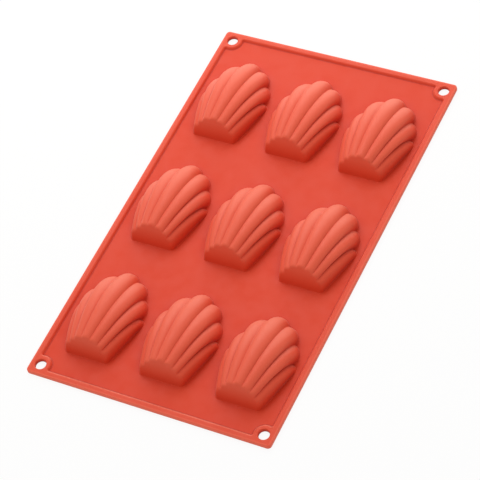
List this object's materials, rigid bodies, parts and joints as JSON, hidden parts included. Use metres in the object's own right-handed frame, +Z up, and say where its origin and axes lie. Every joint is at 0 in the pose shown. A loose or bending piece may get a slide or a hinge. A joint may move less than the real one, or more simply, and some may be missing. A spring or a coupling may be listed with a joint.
{
  "type": "madeleine mould",
  "caption": "Flexible silicone baking mould with rows of scalloped madeleine cups, a raised rim and a hanging eyelet in each corner, lying face down.",
  "frame": {"origin": "middle of the flat face that the mould lies on", "axes": "+X across the mould, +Y along it from the shells' narrow ends to their wide tips, +Z up from the flat face to the backs of the cups"},
  "size_m": [0.175, 0.3, 0.0181],
  "materials": {
    "silicone": "satin"
  },
  "bodies": {
    "root": {"rim_left": "silicone", "rim_right": "silicone", "rim_front": "silicone", "rim_back": "silicone", "eyelet_front_left": "silicone", "eyelet_front_right": "silicone", "eyelet_back_left": "silicone", "eyelet_back_right": "silicone", "sheet": "silicone", "cup_front_left": "silicone", "cup_front_middle": "silicone", "cup_front_right": "silicone", "cup_centre_left": "silicone", "cup_centre_middle": "silicone", "cup_centre_right": "silicone", "cup_back_left": "silicone", "cup_back_middle": "silicone", "cup_back_right": "silicone"}
  },
  "joints": []
}
